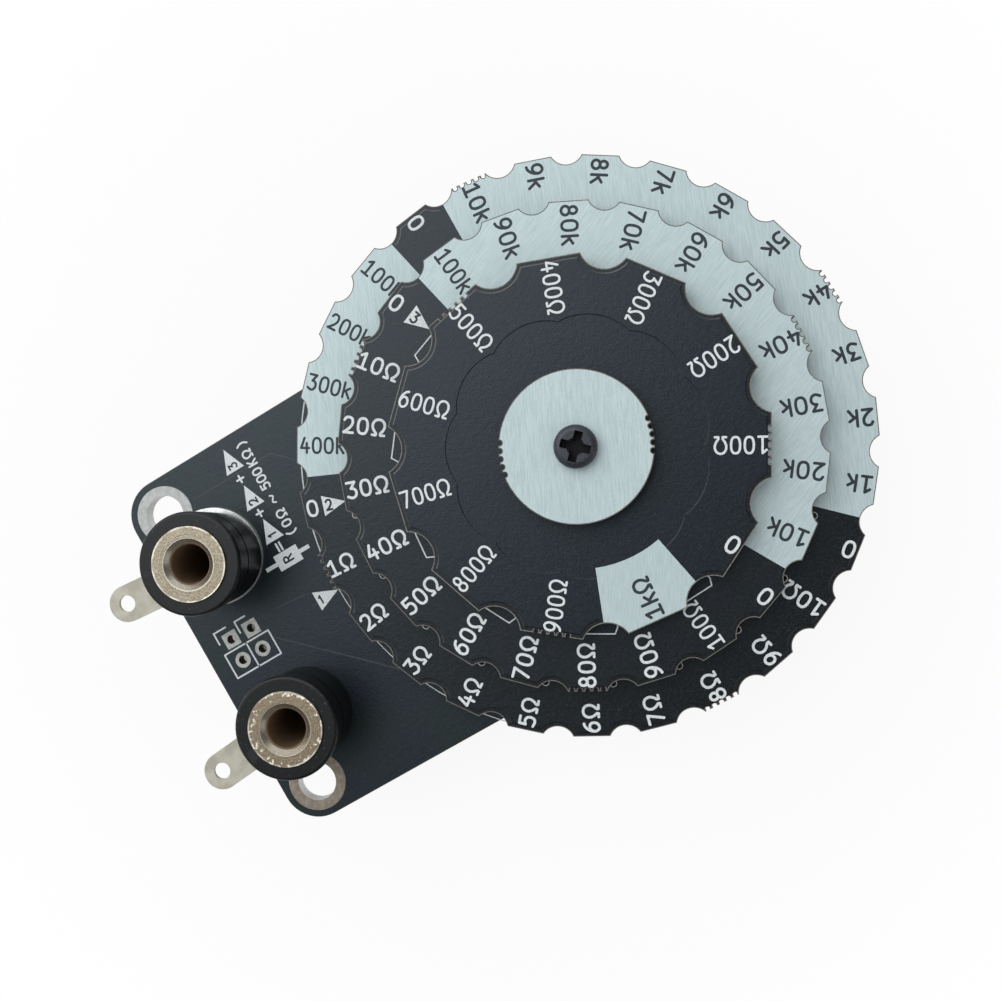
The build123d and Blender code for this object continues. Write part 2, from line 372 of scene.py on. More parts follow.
wall_t = 0.03
hole_r, ring_r = 2.1, 3.1
inner_r, top_z, low_z = hole_r - wall_t, board_t + pad_rise, -pad_rise
mount_ring = [(inner_r, low_z), (inner_r, top_z), (ring_r, top_z), (ring_r, board_t - sunk),
              (hole_r, board_t - sunk), (hole_r, sunk), (ring_r, sunk), (ring_r, low_z)]
turned("mount_plating_left", mount_ring, 0, mount_y, solder_tin, "base", 96)
turned("mount_plating_right", mount_ring, 0, -mount_y, warm_tin, "base", 96)

barrel_r = 0.5
open_r = barrel_r - wall_t
header_pads = Film()
for x, y in header_spots:
    pad = block(1.7, 1.7, x, y) if y > 0 else circle(x, y, 0.85)
    header_pads.shapes.append(filled(covered, board=[pad], open=[circle(x, y, open_r)]))
header_pads.make("header_pads_top", board_t - sunk, board_t + pad_rise, pad_tin, "base", "tin")
header_pads.make("header_pads_under", -pad_rise, sunk, pad_tin, "base", "tin")
barrel = [(open_r, 0), (open_r, board_t), (barrel_r, board_t), (barrel_r, 0)]
for n, (x, y) in enumerate(header_spots, 1):
    turned(f"header_barrel_{n}", barrel, x, y, shaded_plating, "base", 32)


# White print on the base board. Screen-printed epoxy ink: the sum of the three dials with its
# range below, the pointer to the first dial, the outline of the header and the arc round the dials.

ink_t = 0.04


def curve(*corners):
    """A smooth line through the given points, as points close together."""
    ends = [corners[0]] + list(corners) + [corners[-1]]
    line = []
    for p, q, r, s in zip(ends, ends[1:], ends[2:], ends[3:]):
        for t in (0, 0.25, 0.5, 0.75):
            line.append(tuple(0.5 * (2 * b + (c - a) * t + (2 * a - 5 * b + 4 * c - d) * t * t
                                     + (3 * b - a - 3 * c + d) * t ** 3) for a, b, c, d in zip(p, q, r, s)))
    return [line + [corners[-1]]]


def straight(*corners):
    """A line that bends sharply at the given points, as one stroke per side."""
    return [[a, b] for a, b in zip(corners, corners[1:])]


def oval(y, half_w, half_h, power=2.0):
    """A closed oval. It gets squarer with a higher power."""
    def eased(part):
        return math.copysign(abs(part) ** (2 / power), part)

    angles = [math.pi * i / 10 for i in range(21)]
    return [[(half_w * eased(math.cos(a)), y + half_h * eased(math.sin(a))) for a in angles]]


# The strokes of each sign, in a box that reaches 1 to all sides of its middle. "i" is a 1 without foot.
six = ((0.7, 0.98), (0.1, 0.85), (-0.5, 0.45), (-0.85, -0.1), (-0.85, -0.6), (-0.45, -0.97), (0.1, -1.03),
       (0.7, -0.8), (0.92, -0.35), (0.7, 0.08), (0.1, 0.24), (-0.5, 0.1), (-0.85, -0.3))
ohm = ((-0.5, -1), (-0.5, -0.75), (-1, -0.35), (-1.28, 0.15), (-1.1, 0.65), (-0.6, 0.95), (0, 1.03))
pen_strokes = {
    "0": oval(0, 1.0, 1.0, 2.5),
    "1": straight((-0.8, 0.6), (0.1, 1), (0.1, -1)) + straight((-0.9, -1), (1, -1)),
    "i": straight((-0.6, 0.55), (0.1, 1), (0.1, -1)),
    "2": curve((-0.9, 0.62), (-0.55, 0.93), (0, 1), (0.62, 0.86), (0.85, 0.4), (0.6, -0.1), (-0.1, -0.6),
               (-0.9, -1))
         + straight((-0.9, -1), (1, -1)),
    "3": straight((-0.85, 1), (0.85, 1), (-0.05, 0.2))
         + curve((-0.05, 0.2), (0.45, 0.15), (0.9, -0.15), (0.9, -0.6), (0.5, -0.93), (-0.1, -1.02),
                 (-0.9, -0.8)),
    "4": straight((-0.1, 1), (-0.95, -0.35), (1.05, -0.35)) + straight((0.45, 0.3), (0.5, -1)),
    "5": straight((0.8, 1), (-0.7, 1), (-0.75, 0.15))
         + curve((-0.75, 0.15), (0, 0.3), (0.65, 0.12), (0.9, -0.35), (0.65, -0.85), (0, -1.02),
                 (-0.9, -0.85)),
    "6": curve(*six),
    "7": straight((-0.95, 1), (0.9, 1), (-0.25, -1)),
    "8": oval(0.5, 0.72, 0.5) + oval(-0.48, 0.9, 0.53),
    "9": curve(*[(-x, -y) for x, y in six]),
    "Ω": curve(*ohm, *[(-x, y) for x, y in ohm[-2::-1]])
         + straight((-1.25, -1), (-0.5, -1)) + straight((1.25, -1), (0.5, -1)),
    "k": straight((-0.75, 1), (-0.75, -1)) + straight((0.75, 0.35), (-0.7, -0.25))
         + straight((-0.25, -0.05), (0.85, -1)),
    "K": straight((-0.75, 1), (-0.75, -1)) + straight((0.8, 1), (-0.75, -0.15))
         + straight((-0.3, 0.2), (0.85, -1)),
    "R": straight((-0.75, -1), (-0.75, 1)) + straight((0.05, 0.05), (0.8, -1))
         + curve((-0.75, 1), (0.2, 1), (0.75, 0.75), (0.75, 0.3), (0.2, 0.05), (-0.75, 0.05)),
    "(": curve((0.35, 1.2), (-0.25, 0.6), (-0.4, 0), (-0.25, -0.6), (0.35, -1.2)),
    ")": curve((-0.35, 1.2), (0.25, 0.6), (0.4, 0), (0.25, -0.6), (-0.35, -1.2)),
    "~": curve((-1.5, -0.3), (-0.9, 0.3), (0, 0), (0.9, -0.3), (1.5, 0.3)),
    "+": straight((-1, 0), (1, 0)) + straight((0, -1), (0, 1)),
    "=": straight((-1, 0.42), (1, 0.42)) + straight((-1, -0.42), (1, -0.42)),
}


def pen(line, width):
    """A line drawn with a round pen, as quads that meet at the bends and a half circle at each end."""
    closed = line[0] == line[-1] or math.dist(line[0], line[-1]) < 1e-6
    spots = line[:-1] if closed else line
    count = len(spots)
    left, right = [], []
    for i, (x, y) in enumerate(spots):
        before = spots[i - 1] if closed or i else spots[i]
        after = spots[(i + 1) % count] if closed or i < count - 1 else spots[i]
        a = math.atan2(y - before[1], x - before[0]) if before != (x, y) else None
        b = math.atan2(after[1] - y, after[0] - x) if after != (x, y) else a
        a = b if a is None else a
        bend = (b - a + math.pi) % (2 * math.pi) - math.pi
        way = a + bend / 2 + math.pi / 2
        reach = width / 2 / max(0.5, math.cos(bend / 2))
        left.append((x + reach * math.cos(way), y + reach * math.sin(way)))
        right.append((x - reach * math.cos(way), y - reach * math.sin(way)))
    runs = range(count if closed else count - 1)
    shapes = [[left[i], right[i], right[(i + 1) % count], left[(i + 1) % count]] for i in runs]
    if not closed:
        for (x, y), (u, v) in ((spots[0], spots[1]), (spots[-1], spots[-2])):
            way = math.degrees(math.atan2(y - v, x - u))
            shapes.append(arc(x, y, width / 2, way - 90, way + 90))
    return shapes


def letter(sign, half_w, half_h, width):
    """The outlines of one sign: its pen strokes at a size and pen width."""
    lines = [[(x * half_w, y * half_h) for x, y in line] for line in pen_strokes[sign]]
    return [shape for line in lines for shape in pen(line, width)]


drawn = {}


def sign_shape(*size):
    """One sign as a flat shape, worked out only once for each size."""
    if size not in drawn:
        drawn[size] = filled(bool, stroke=letter(*size))
    return drawn[size]


def stroked(runs, width):
    """Lines drawn with a round pen, joined to one flat shape."""
    return filled(bool, stroke=[shape for run in runs for shape in pen(run, width)])


def numbered(outline, x, y, turn, *sign):
    """A printed shape with its number left open in it."""
    number = [moved(shape, x, y, turn) for shape in letter(*sign)]
    return filled(lambda inside: inside == {"shape"}, shape=[outline], number=number)


def ink_finish():
    finish = Finish("white_print")
    grit = finish.noise(0.15, 3.0)
    colour = finish.mix(grit.ramp(0.3, 0.6), paint(206, 212, 214), paint(232, 238, 240))
    return finish.surface(colour, 0.55 + grit * 0.2, height=grit * 0.008, Specular_IOR_Level=0.3)


white_ink = ink_finish()
base_print = Film()
sum_x = stack_x - 32.97
for y, number_y, sign in ((8.06, 8.74, "i"), (12.21, 12.79, "2"), (16.62, 17.2, "3")):
    arrow = [(sum_x + 1.1, y), (sum_x, y + 2.6), (sum_x - 1.1, y)]
    base_print.shapes.append(numbered(arrow, sum_x, number_y, 90, sign, 0.27, 0.45, 0.19))
resistor = block(2.82, 1.82, stack_x - 32.69, 5.69)
base_print.shapes.append(numbered(resistor, stack_x - 32.73, 5.63, 90, "R", 0.36, 0.52, 0.2))
for x, length in ((-34.8, 1.4), (-30.67, 1.22)):
    lead = block(length, 0.44, stack_x + x, 5.68)
    base_print.shapes.append((lead, [(0, 1, 2), (0, 2, 3)]))
base_print.lay(sign_shape("=", 0.435, 0.49, 0.22), stack_x - 32.955, 7.22, 90)
for y in (11.41, 15.59):
    base_print.lay(sign_shape("+", 0.39, 0.39, 0.22), sum_x, y, 90)
range_signs = (("(", 7.91), ("0", 9.02), ("Ω", 10.16), ("~", 11.96), ("5", 13.56), ("0", 14.46),
               ("0", 15.34), ("K", 16.41), ("Ω", 17.5), (")", 18.72))
for sign, y in range_signs:
    stroke = 0.17 if sign == "~" else 0.2
    base_print.lay(sign_shape(sign, 0.31, 0.495, stroke), stack_x - 30.95, y, 90)
pointer = [(stack_x + x, y) for x, y in ((-32.35, -0.975), (-29.71, 0.1), (-32.35, 1.21))]
base_print.shapes.append(numbered(pointer, stack_x - 31.84, 0.1, 0, "i", 0.24, 0.42, 0.19))
for radius, start, end, stroke in ((29.65, 138, 172, 0.13), (29.6, 172, 226, 0.09)):
    base_print.shapes.append(stroked([arc(stack_x, 0, radius, start, end)], stroke))
header_frame = (
    ((-44.19, -2.71), (-38.6, -2.71), (-38.6, 0.14), (-44.19, 0.14), (-44.19, -2.71)),
    ((-41.43, -2.71), (-41.43, 0.14)),
    ((-44.1, 1.4), (-44.1, 2.73), (-42.6, 2.73)),
    ((-41.43, 1.4), (-41.43, 2.73), (-40.1, 2.73)))
for line in header_frame:
    base_print.shapes.append(stroked(straight(*[(stack_x + x, y) for x, y in line]), 0.18))
base_print.make("base_print", board_t, board_t + ink_t, white_ink, "base")


# Tracks of the base board. Thin copper etched under the mask, which shows as a low ridge drawn lighter
# than the mask, partly for the copper and partly as painted sheen: from the mounting holes and the
# header towards the dials.

def ridge_finish():
    finish = Finish("mask_over_edges")
    fine = finish.noise(0.2, 3.0)
    # the ridge is lighter than the mask round it, partly for the copper and partly as painted sheen
    colour = finish.mix(fine.ramp(0.3, 0.7), paint(50, 53, 59), paint(74, 77, 84))
    return finish.surface(colour, 0.35 + fine * 0.2, height=fine * 0.006, Specular_IOR_Level=0.3)


mask_ridge = ridge_finish()
tracks = Film()
for run in (((-38.64, 16.3), (-28.66, 16.26), (-25.2, 12.8)),
            ((-38.51, -0.71), (-29.51, -9.22), (-26.3, -12.3)),
            ((-36.55, 1.71), (-32.8, 1.36))):
    tracks.shapes.append(stroked([[(x + stack_x, y) for x, y in run]], 0.14))
tracks.make("base_tracks", board_t, board_t + mask_t + 0.012, mask_ridge, "base", "circuit_board")


# Sockets. Moulded black collars over turned, nickel-plated brass barrels, clamped through the
# board by a plastic insulator, a tinned solder lug and a hexagon nut. A loose ring lies under one.

def plastic_finish():
    finish = Finish("black_plastic")
    fine = finish.noise(0.3, 3.0)
    colour = finish.mix(fine.ramp(0.3, 0.7), paint(10, 12, 12), paint(16, 18, 18))
    scuffs = finish.noise(2.5, 4.0).ramp(0.66, 0.7)
    colour = finish.mix(scuffs * 0.3, colour, paint(60, 60, 62))
    specks = finish.noise(0.22, 1.0).ramp(0.72, 0.77)
    colour = finish.mix(specks * 0.5, colour, paint(120, 120, 118))
    rough = 0.3 + fine * 0.15 + scuffs * 0.15
    return finish.surface(colour, rough, height=fine * 0.006, Specular_IOR_Level=0.3)


def insert_finish(name, x, y, low, high, wear_and_glints):
    """Turned nickel plating with a smooth lead to its brown bore, a chipped rim and painted highlights."""
    finish = Finish(name)
    radius = finish.from_axis(x, y)
    rings = finish.node("ShaderNodeTexNoise", {"noise_dimensions": "1D"},
                        {"W": radius, "Scale": 9.0, "Detail": 3.0})
    grit = finish.noise(0.16, 3.0)
    colour = finish.mix(grit.ramp(0.35, 0.65), low, high)
    colour = finish.mix(rings.ramp(0.4, 0.7) * 0.35, colour, paint(180, 172, 154))
    # painted glints: the bright chips near the rim stand partly for chipped plating and partly for glints
    chips = finish.noise(0.45, 4.0).ramp(0.57, 0.62) * radius.ramp(2.9, 3.4) * wear_and_glints
    # painted highlights: the paler lead and the broken bright ring round the outer rim
    lead = 1 - radius.ramp(2.66, 2.72)
    rim = radius.ramp(3.62, 3.74) * finish.noise(1.3, 3.0).ramp(0.35, 0.6)
    colour = finish.mix(rim * 0.6 + chips + lead * 0.3, colour, paint(248, 242, 226))
    inside = (1 - radius.ramp(2.1, 2.2)) * (finish.z > -9.0)
    colour = finish.mix(inside, colour, paint(112, 90, 68))
    height = (grit * 0.02 + rings * 0.01) * (1 - lead)
    rough = 0.24 + grit * 0.25 - lead * 0.12 + inside * 0.4
    return finish.surface(colour, rough, 0.85 - inside * 0.8, height=height)


plastic = plastic_finish()
dress(plastic, "socket_1_collar", "socket_2_collar")
dress(insert_finish("nickel_insert_1", *socket_spots[0], paint(120, 110, 92), paint(160, 150, 130),
                    wear_and_glints=0.1), "socket_1_insert")
dress(insert_finish("nickel_insert_2", *socket_spots[1], paint(116, 100, 80), paint(158, 142, 118),
                    wear_and_glints=0.95), "socket_2_insert")


def bright_metal(name, low, high, rough, size, metal=0.9):
    """Plated sheet or turned metal, with faint clouds and scratches."""
    finish = Finish(name)
    cloud = finish.noise(size, 4.0)
    hair = finish.grain(37.0, 3.0, 0.06)
    colour = finish.mix(cloud.ramp(0.35, 0.68), low, high)
    height = hair * 0.006 + cloud * 0.01
    return finish.surface(colour, rough + hair * 0.2 + cloud * 0.1, metal, height=height)


steel_ring = bright_metal("ring_washer_steel", paint(196, 198, 196), paint(236, 238, 236), 0.2, 1.2, 0.6)
lug_tin = bright_metal("tinned_lug", paint(178, 174, 160), paint(200, 196, 182), 0.45, 1.6, 0.3)
nut_nickel = bright_metal("nickel_nut", paint(168, 164, 156), paint(204, 200, 192), 0.22, 1.5)
dress(steel_ring, "socket_1_ring_washer")
dress(lug_tin, "socket_1_solder_lug", "socket_2_solder_lug")
dress(nut_nickel, "socket_1_nut", "socket_2_nut")


def thread(name, x, y, radius, rise, high, pitch, count, finish):
    """The crests of a thread, drawn as rings on the shank below its nut, downwards from that height."""
    inner_r, root_r = radius - 0.2, radius + 0.005
    profile = [(inner_r, high - count * pitch), (inner_r, high)]
    for k in range(count):
        profile += [(root_r, high - k * pitch), (radius + rise, high - (k + 0.5) * pitch)]
    turned(name, profile + [(root_r, high - count * pitch)], x, y, finish, "base", 64)


nickel_thread = bright_metal("nickel_thread", paint(146, 136, 118), paint(182, 172, 152), 0.2, 1.2)
for n, (x, y) in enumerate(socket_spots, 1):
    thread(f"socket_{n}_thread", x, y, radius=2.9, rise=0.15, high=-3.85, pitch=0.7, count=10,
           finish=nickel_thread)


def nylon_finish(name, low, high):
    finish = Finish(name)
    cloud = finish.noise(0.7, 3.0)
    colour = finish.mix(cloud.ramp(0.3, 0.7), low, high)
    return finish.surface(colour, 0.45 + cloud * 0.15, height=cloud * 0.01)


black_insulator = nylon_finish("black_insulator", paint(26, 26, 27), paint(36, 36, 37))
dress(black_insulator, "socket_1_insulator", "socket_2_insulator")


# Tap pads and chip resistors. Tinned pads with a bright track where the sliding contact rubs,
# and between them ceramic chips with a black top and a tinned cap at each end.

def tap_finish(name, body):
    finish = Finish(name)
    _, tap_r, _, _ = tap_rings[body]
    lumps = finish.noise(0.6, 2.0)
    radius = finish.from_axis(stack_x, 0)
    rubbed = 1 - abs(radius - tap_r).ramp(0.3, 0.6)
    colour = finish.mix(lumps.ramp(0.35, 0.65), paint(176, 182, 180), paint(204, 210, 208))
    colour = finish.mix(rubbed * 0.6, colour, paint(226, 228, 222))
    return finish.surface(colour, 0.42 - rubbed * 0.2 + lumps * 0.1, 0.85, height=lumps * 0.02)


def step_round(finish, start, count):
    """How far into its own step a spot is, from 0 to 1, with that count of steps round the dials' axis."""
    angle = finish.node("ShaderNodeMath", {"operation": "ARCTAN2"}, {0: finish.y, 1: finish.x - stack_x})
    steps = (angle * (180 / math.pi) - start + 720) * (count / 360)
    return steps.work("FRACT", steps)


def chip_finish(name, body):
    finish = Finish(name)
    chip_r, _, turn, taps = tap_rings[body]
    along = abs(step_round(finish, turn, taps) - 0.5) * (2 * math.pi * chip_r / taps)
    cap = along.ramp(0.48, 0.52)
    normal = finish.node("ShaderNodeNewGeometry", {}, {}, "Normal")
    upright = finish.node("ShaderNodeSeparateXYZ", {}, {0: normal}, 2)
    grit = finish.noise(0.1, 2.0)
    ceramic = finish.mix(upright.ramp(0.5, 0.7), paint(214, 212, 204), paint(28, 28, 30))
    metal = finish.mix(grit.ramp(0.3, 0.7), paint(170, 172, 170), paint(204, 206, 204))
    colour = finish.mix(cap, ceramic, metal)
    return finish.surface(colour, 0.35 + grit * 0.2, cap * 0.8, height=grit * 0.005)


dress(tap_finish("tinned_taps_1", "base"), "base_tap_pads")
dress(tap_finish("tinned_taps_2", "disc_1"), "disc_1_tap_pads")
dress(tap_finish("tinned_taps_3", "disc_2"), "disc_2_tap_pads")
dress(chip_finish("chips_base", "base"), "resistors_1_ohm", "resistors_1_kilohm", "resistors_100_kilohm")
dress(chip_finish("chips_disc_1", "disc_1"), "resistors_10_ohm", "resistors_10_kilohm")
dress(chip_finish("chips_disc_2", "disc_2"), "resistors_100_ohm")


# Dial discs. Three notched circuit boards with a black mask on both sides, zones of brushed tin
# on the top of each, and white or black values printed at every tooth. Each turns on its own.

# turn is the angle of the tooth marked 0, under the height of the underside, brush the direction of
# the brushing, tabs are the teeth where the disc was broken out of its panel, and the tints are the
# mask's two colours: darker on the lower discs as painted shade, bluer on the top as painted sheen
dials = {
    1: dict(teeth=27, tooth_r=29.3, notch_angle=6.0, notch_r=1.75, turn=162.3, under=2.8, brush=68.0,
            tabs=(1, 8, 15, 21), tints_with_shade=(paint(11, 12, 10), paint(12, 12, 15))),
    2: dict(teeth=22, tooth_r=24.15, notch_angle=7.1, notch_r=1.7, turn=111.1, under=5.6, brush=22.0,
            tabs=(1, 8, 15), tints_with_shade=(paint(14, 18, 19), paint(17, 17, 23))),
    3: dict(teeth=11, tooth_r=18.5, notch_angle=13.6, notch_r=2.5, turn=297.5, under=8.4, brush=60.0,
            tabs=(1, 5, 9), tints_with_shade=(paint(14, 20, 26), paint(18, 19, 31))),
}
edge_gap = 0.1  # how far the films stop short of the rim
copper_in = 0.45  # how far the copper under them does
bite_r, bite_in, bite_pitch = 0.25, 0.1, 0.78


def bites(rim_r, angle, inset):
    """The row of half holes where a tab of the panel was broken off."""
    angles = [angle + math.degrees((i - 2) * bite_pitch / rim_r) for i in range(5)]
    return [circle(*polar(rim_r - bite_in, a), bite_r + inset) for a in angles]


def dial_bites(dial, inset):
    pitch = 360 / dial["teeth"]
    flat_r = dial["tooth_r"] * math.cos(math.radians((pitch - dial["notch_angle"]) / 2))
    return [bite for k in dial["tabs"] for bite in bites(flat_r, dial["turn"] + k * pitch, inset)]


def dial_outline(dial, inset):
    """The rim of a dial with its notches, moved inwards."""
    pitch = 360 / dial["teeth"]
    half_notch = math.radians(dial["notch_angle"] / 2)
    half_pitch = math.radians(pitch / 2)
    flat_r = dial["tooth_r"] * math.cos(half_pitch - half_notch) - inset
    notch_r = dial["notch_r"] + inset
    notch_at = dial["tooth_r"] * math.cos(half_notch) + math.sqrt(
        dial["notch_r"] ** 2 - (dial["tooth_r"] * math.sin(half_notch)) ** 2)
    out = notch_at * math.cos(half_pitch) - flat_r
    spread = math.degrees(math.acos(out / notch_r) - half_pitch)
    line = []
    for k in range(dial["teeth"]):
        a = dial["turn"] + (k + 0.5) * pitch
        line += arc(*polar(notch_at, a), notch_r, a + 180 + spread, a + 180 - spread)
    return line


def sector(dial, inner, first, last):
    """A wide slice between two teeth counted from the one marked 0, open outwards."""
    pitch = 360 / dial["teeth"]
    start, end = dial["turn"] + first * pitch, dial["turn"] + last * pitch
    return arc(stack_x, 0, dial["tooth_r"] + 2, start, end) + arc(stack_x, 0, inner, end, start)


def brushed_finish(name, turn):
    """Tinned copper rubbed in one direction."""
    finish = Finish(name)
    hair = finish.grain(turn, 1.6, 0.075)
    dots = finish.noise(0.12, 1.0)
    cloud = finish.noise(6.0, 2.0)
    colour = finish.mix(hair.ramp(0.3, 0.7), paint(180, 198, 201), paint(203, 219, 220))
    colour = finish.mix(dots.ramp(0.5, 0.7) * 0.35, colour, paint(212, 227, 229))
    colour = finish.mix(cloud.ramp(0.45, 0.7) * 0.25, colour, paint(184, 201, 204))
    height = hair * 0.005 + dots * 0.003
    return finish.surface(colour, 0.52 + hair * 0.15, 0.25, height=height, Specular_IOR_Level=0.35)


def print_finish():
    finish = Finish("black_print")
    grit = finish.noise(0.15, 3.0)
    colour = finish.mix(grit.ramp(0.35, 0.65), paint(26, 36, 40), paint(42, 54, 58))
    return finish.surface(colour, 0.5 + grit * 0.2, height=grit * 0.006)


black_ink = print_finish()
digit_room = 1.47
sign_room = {"Ω": 1.77, "k": 1.3}


def lay_label(film, dial, tooth, text, stroke, wide=1.0, lead=0.42):
    """A value that reads inwards from the rim of one tooth."""
    angle = dial["turn"] + tooth * 360 / dial["teeth"]
    at = dial["tooth_r"] - lead - 0.6 * wide
    for i, sign in enumerate(text):
        room = sign_room.get(sign, digit_room)
        if i:
            at -= (room + last_room) / 2 * wide
        last_room = room
        film.lay(sign_shape(sign, round(0.485 * wide, 4), 0.77, stroke), *polar(at, angle), angle + 180)


def lay_pointer(film, dial, base_r, tip_r, sign):
    """A white triangle at the tooth marked 0, pointing inwards, with its number left open."""
    arrow = [(0, 1.06), (0, -1.06), (base_r - tip_r, 0)]
    shape = numbered(arrow, 0.62, 0, 0, sign, 0.3, 0.52, 0.22)
    film.lay(shape, *polar(base_r, dial["turn"]), dial["turn"] + 180)


def bevel_finish():
    finish = Finish("mask_over_copper_edge")
    fine = finish.noise(0.2, 3.0)
    colour = finish.mix(fine.ramp(0.3, 0.7), paint(14, 17, 18), paint(26, 28, 31))
    return finish.surface(colour, 0.22 + fine * 0.12, height=fine * 0.004, Specular_IOR_Level=0.6)


mask_bevel = bevel_finish()


def copper_edge(name, dial, zones, low, body):
    """The bevel where the copper under the mask ends, short of the rim of every tooth that isn't tinned."""
    line = dial_outline(dial, copper_in)
    bevel_w, high, spare = 0.14, low + 0.035, 0.06
    points, faces = [], []
    for left, right, next_right, next_left in pen(line + line[:1], bevel_w):
        angle = math.degrees(math.atan2(left[1], left[0] - stack_x))
        tooth = (angle - dial["turn"]) % 360 / (360 / dial["teeth"])
        if any(first - spare < tooth < last + spare for first, last in zones):
            continue
        n = len(points)
        points += [(*right, low), (*left, high), (*left, low)]
        points += [(*next_right, low), (*next_left, high), (*next_left, low)]
        faces += [(n, n + 3, n + 4, n + 1), (n + 1, n + 4, n + 5, n + 2), (n + 2, n + 5, n + 3, n)]
        faces += [(n, n + 1, n + 2), (n + 3, n + 5, n + 4)]
    piece(name, points, faces, mask_bevel, body)


bare_mask = mask_finish("mask_on_bare_board", paint(8, 12, 11), paint(10, 11, 13))
tin_rise, white_rise, black_rise = 0.035, 0.064, 0.047


def foot_open(dial):
    """The opening for the contact's foot on the underside."""
    foot = [(-0.75, -4.9), (0.75, -4.9), (0.75, -2.95), (-0.75, -2.95)]
    return moved(foot, *polar(dial["tooth_r"] - 5.3, dial["turn"]), dial["turn"])


def disc_films(number, zones, inner, open_shapes, white, black, relief=None):
    """Mask, tin and print on one disc. The zones are runs of teeth, tinned from the inner radius out."""
    dial = dials[number]
    body = f"disc_{number}"
    under, top = dial["under"], dial["under"] + board_t
    mask = mask_finish(f"mask_of_{body}", *dial["tints_with_shade"], relief)
    tin = brushed_finish(f"brushed_tin_{number}", dial["brush"])
    board = [dial_outline(dial, edge_gap)]
    tinned = [sector(dial, inner, *zone) for zone in zones]
    bitten = dial_bites(dial, edge_gap)
    opened = open_shapes + bitten
    copper_edge(f"{body}_copper_edge", dial, zones, top + mask_t, body)
    masked = dict(board=board, core=[dial_outline(dial, 0.38)], zone=tinned, open=opened)
    Film(filled(lambda inside: inside == {"board", "core"}, **masked)).make(
        f"{body}_mask_top", top - sunk, top + mask_t, mask, body, "circuit_board")
    Film(filled(lambda inside: inside == {"board"}, **masked)).make(
        f"{body}_mask_rim", top - sunk, top + mask_t, bare_mask, body, "circuit_board")
    Film(filled(lambda inside: inside == {"board", "zone"}, board=board, zone=tinned, open=opened)).make(
        f"{body}_tin", top - sunk, top + tin_rise, tin, body, "tinned_board")
    white.make(f"{body}_white_print", top, top + white_rise, white_ink, body)
    black.make(f"{body}_black_print", top, top + black_rise, black_ink, body)
    under_open = [circle(*spacer_open), foot_open(dial)] + bitten
    Film(filled(covered, board=board, open=under_open)).make(
        f"{body}_mask_under", under - mask_t, under + sunk, mask, body, "circuit_board")


# first disc, with the second one's taps on it and a row of vias past ten of them
disc_1_open = ring_openings("disc_1", [k for k in range(21) if k != 10]) + [circle(*spacer_open)]
via_at, via_turn, via_open_r = 24.0, dials[1]["turn"] + 3.83, 0.21
via_spots = [polar(via_at, via_turn - k * 360 / dials[2]["teeth"]) for k in range(13, 23)]
disc_1_open += [circle(*spot, via_open_r) for spot in via_spots]
white, black = Film(), Film()
texts = ["0"] + [f"{n}Ω" for n in range(1, 11)] + ["0"] + [f"{n}k" for n in range(1, 11)]
texts += ["0"] + [f"{n}00k" for n in range(1, 5)]
for tooth, text in enumerate(texts):
    dark = text.endswith("k")
    narrow = tooth >= 23
    stroke = (0.25 if narrow else 0.29) if dark else 0.27
    lay_label(black if dark else white, dials[1], tooth, text, stroke, 0.86 if narrow else 1.0)
lay_pointer(white, dials[1], base_r=27.13, tip_r=24.68, sign="2")
disc_films(1, [(11.5, 21.5), (22.5, 26.5)], 22.8, disc_1_open, white, black)
via_rings = [filled(covered, board=[circle(*spot, 0.41)], open=[circle(*spot, 0.32)]) for spot in via_spots]
via_low = dials[1]["under"] + board_t
Film(*via_rings).make("disc_1_via_rings", via_low, via_low + 0.045, pad_tin, "disc_1", "tin")

# second disc, with the third one's taps on it and a printed box beside six of the third one's teeth
disc_2_open = ring_openings("disc_2", range(10)) + [circle(*spacer_open)]
white, black = Film(), Film()
texts = ["0"] + [f"{n}0Ω" for n in range(1, 11)] + ["0"] + [f"{n}0k" for n in range(1, 11)]
for tooth, text in enumerate(texts):
    dark = text.endswith("k")
    narrow = len(text) > 3
    stroke = (0.25 if narrow else 0.28) if dark else (0.22 if narrow else 0.27)
    lay_label(black if dark else white, dials[2], tooth, text, stroke, 0.86 if narrow else 1.0)
lay_pointer(white, dials[2], base_r=21.36, tip_r=18.9, sign="3")
box_corners = ((18.03, 3.8), (18.66, 2.6), (18.35, -9.5), (16.5, -9.5), (16.5, 3.8), (18.03, 3.8))
for k in range(6):
    notch = 313.86 - (k + 1) * 360 / 11
    box = [polar(radius, notch + angle) for radius, angle in box_corners]
    white.shapes.append(stroked(straight(*box), 0.13))
disc_films(2, [(11.5, 21.5)], 16.6, disc_2_open, white, black)


def pour_step(finish):
    """The copper of the third disc ends in a scalloped step about its centre."""
    part = step_round(finish, dials[3]["turn"], dials[3]["teeth"]) * math.pi
    scallop = 12.0 + part.work("SINE", part) ** 0.7 * 0.7
    return (finish.from_axis(stack_x, 0) - scallop).ramp(-0.05, 0.06) * 0.05


# third disc, with one tinned tooth
white, black = Film(), Film()
lead = 0.57
lay_label(white, dials[3], 0, "0", 0.27, 1.0, lead)
for tooth in range(1, 10):
    lay_label(white, dials[3], tooth, f"{tooth}00Ω", 0.22, 0.86, lead)
lay_label(black, dials[3], 10, "1kΩ", 0.29, 0.95, lead)
spring_open = circle(stack_x, 0, 4.6)
disc_films(3, [(9.5, 10.5)], 11.7, [spring_open], white, black, pour_step)


# Sliding contacts. A strip of spring bronze under each disc, soldered at its foot, whose bent
# toe runs over the taps of the board below.

